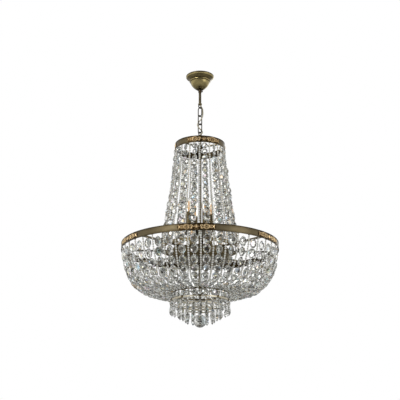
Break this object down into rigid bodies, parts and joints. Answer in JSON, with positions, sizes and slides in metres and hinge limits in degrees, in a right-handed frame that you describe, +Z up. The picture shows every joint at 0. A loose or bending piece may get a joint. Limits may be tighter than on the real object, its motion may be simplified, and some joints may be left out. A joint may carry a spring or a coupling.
{
  "type": "crystal chandelier",
  "caption": "Basket chandelier: crystal strands flare from a top ring, swell into a bowl under a wide brass band and end in tiers of drops and a ball; chain and canopy.",
  "frame": {"origin": "middle of the ceiling bracket, on the ceiling plane", "axes": "+Z up, front towards -Y, +X to the right seen from the front"},
  "size_m": [0.6, 0.6054, 1.022],
  "materials": {
    "antique_brass": "brown antique patina, satin",
    "gilt_casting": "copper gilt highlights over a dark ground",
    "bronze_chain": "dark bronze, satin",
    "zinc_steel": "zinc plated",
    "dark_screw": "dark bronze, knurled",
    "brass_wire": "bright drawn wire",
    "terminal_plastic": "moulded",
    "cable_pvc": "beige, smooth",
    "candle_sleeve": "cream, satin",
    "holder_plastic": "moulded",
    "bulb_glass": "cream frosted",
    "cut_crystal": "cut and polished",
    "bead_crystal": "polished beads",
    "ball_crystal": "cut and polished"
  },
  "bodies": {
    "ceiling_mount": {"mounting_bracket": "zinc_steel", "bracket_lock_nuts": "zinc_steel", "terminal_block": "terminal_plastic", "down_rod": "antique_brass", "rod_loop": "bronze_chain", "supply_cable_1": "cable_pvc"},
    "canopy": {"ceiling_canopy": "antique_brass", "canopy_collar": "antique_brass", "collar_set_screw": "dark_screw"},
    "link_1": {"chain_link_1": "bronze_chain"},
    "link_2": {"chain_link_2": "bronze_chain", "supply_cable_2": "cable_pvc"},
    "link_3": {"chain_link_3": "bronze_chain", "supply_cable_3": "cable_pvc"},
    "fixture": {"top_loop": "bronze_chain", "central_stem": "antique_brass", "top_spider": "antique_brass", "top_ring": "antique_brass", "top_ring_ornaments": "gilt_casting", "main_ring": "antique_brass", "main_ring_ornaments": "gilt_casting", "main_spider": "antique_brass", "inner_ring": "antique_brass", "hub_tray": "antique_brass", "neck_lamp_plate": "antique_brass", "drip_cups": "antique_brass", "bowl_candle_sleeves": "candle_sleeve", "neck_candle_sleeves": "candle_sleeve", "lampholders": "holder_plastic", "upper_collar_ring": "antique_brass", "lower_collar_ring": "antique_brass", "tier_two_ring": "antique_brass", "tier_three_ring": "antique_brass", "bottom_finial": "antique_brass", "neck_crystal_strands": "cut_crystal", "neck_bead_strands": "bead_crystal", "bowl_crystal_strands": "cut_crystal", "bowl_bead_strands": "bead_crystal", "collar_crystals": "cut_crystal", "tier_one_drops": "cut_crystal", "tier_two_drops": "cut_crystal", "tier_three_drops": "cut_crystal", "supply_cable_4": "cable_pvc"},
    "ball": {"ball_pin": "brass_wire", "crystal_ball": "ball_crystal"},
    "bulb_1": {"bulb_1": "bulb_glass"},
    "bulb_2": {"bulb_2": "bulb_glass"},
    "bulb_3": {"bulb_3": "bulb_glass"},
    "bulb_4": {"bulb_4": "bulb_glass"},
    "bulb_5": {"bulb_5": "bulb_glass"},
    "bulb_6": {"bulb_6": "bulb_glass"},
    "bulb_7": {"bulb_7": "bulb_glass"},
    "bulb_8": {"bulb_8": "bulb_glass"},
    "bulb_9": {"bulb_9": "bulb_glass"},
    "bulb_10": {"bulb_10": "bulb_glass"},
    "bulb_11": {"bulb_11": "bulb_glass"},
    "bulb_12": {"bulb_12": "bulb_glass"}
  },
  "joints": [
    {"name": "canopy_slide", "type": "slide", "parent": "ceiling_mount", "child": "canopy", "axis": [0, 0, -1], "range_m": [0, 0.045]},
    {"name": "link_1_swing", "type": "hinge", "parent": "ceiling_mount", "child": "link_1", "pos_m": [0, 0, -0.1401], "axis": [-0.7071, -0.7071, 0], "range_deg": [-20, 20], "deforming": ["supply_cable_1"]},
    {"name": "link_2_swing", "type": "hinge", "parent": "link_1", "child": "link_2", "pos_m": [0, 0, -0.17545], "axis": [0.7071, -0.7071, 0], "range_deg": [-20, 20], "deforming": ["supply_cable_2"]},
    {"name": "link_3_swing", "type": "hinge", "parent": "link_2", "child": "link_3", "pos_m": [0, 0, -0.21095], "axis": [-0.7071, -0.7071, 0], "range_deg": [-20, 20], "deforming": ["supply_cable_3"]},
    {"name": "fixture_swing", "type": "hinge", "parent": "link_3", "child": "fixture", "pos_m": [0, 0, -0.24645], "axis": [0.7071, -0.7071, 0], "range_deg": [-20, 20], "deforming": ["supply_cable_4"]},
    {"name": "ball_swing", "type": "hinge", "parent": "fixture", "child": "ball", "pos_m": [0, 0, -0.9675], "axis": [1, 0, 0], "range_deg": [-20, 20]},
    {"name": "bulb_1_lift", "type": "slide", "parent": "fixture", "child": "bulb_1", "axis": [0, 0, 1], "range_m": [0, 0.03]},
    {"name": "bulb_2_lift", "type": "slide", "parent": "fixture", "child": "bulb_2", "axis": [0, 0, 1], "range_m": [0, 0.03]},
    {"name": "bulb_3_lift", "type": "slide", "parent": "fixture", "child": "bulb_3", "axis": [0, 0, 1], "range_m": [0, 0.03]},
    {"name": "bulb_4_lift", "type": "slide", "parent": "fixture", "child": "bulb_4", "axis": [0, 0, 1], "range_m": [0, 0.03]},
    {"name": "bulb_5_lift", "type": "slide", "parent": "fixture", "child": "bulb_5", "axis": [0, 0, 1], "range_m": [0, 0.03]},
    {"name": "bulb_6_lift", "type": "slide", "parent": "fixture", "child": "bulb_6", "axis": [0, 0, 1], "range_m": [0, 0.03]},
    {"name": "bulb_7_lift", "type": "slide", "parent": "fixture", "child": "bulb_7", "axis": [0, 0, 1], "range_m": [0, 0.03]},
    {"name": "bulb_8_lift", "type": "slide", "parent": "fixture", "child": "bulb_8", "axis": [0, 0, 1], "range_m": [0, 0.03]},
    {"name": "bulb_9_lift", "type": "slide", "parent": "fixture", "child": "bulb_9", "axis": [0, 0, 1], "range_m": [0, 0.03]},
    {"name": "bulb_10_lift", "type": "slide", "parent": "fixture", "child": "bulb_10", "axis": [0, 0, 1], "range_m": [0, 0.03]},
    {"name": "bulb_11_lift", "type": "slide", "parent": "fixture", "child": "bulb_11", "axis": [0, 0, 1], "range_m": [0, 0.03]},
    {"name": "bulb_12_lift", "type": "slide", "parent": "fixture", "child": "bulb_12", "axis": [0, 0, 1], "range_m": [0, 0.03]}
  ]
}
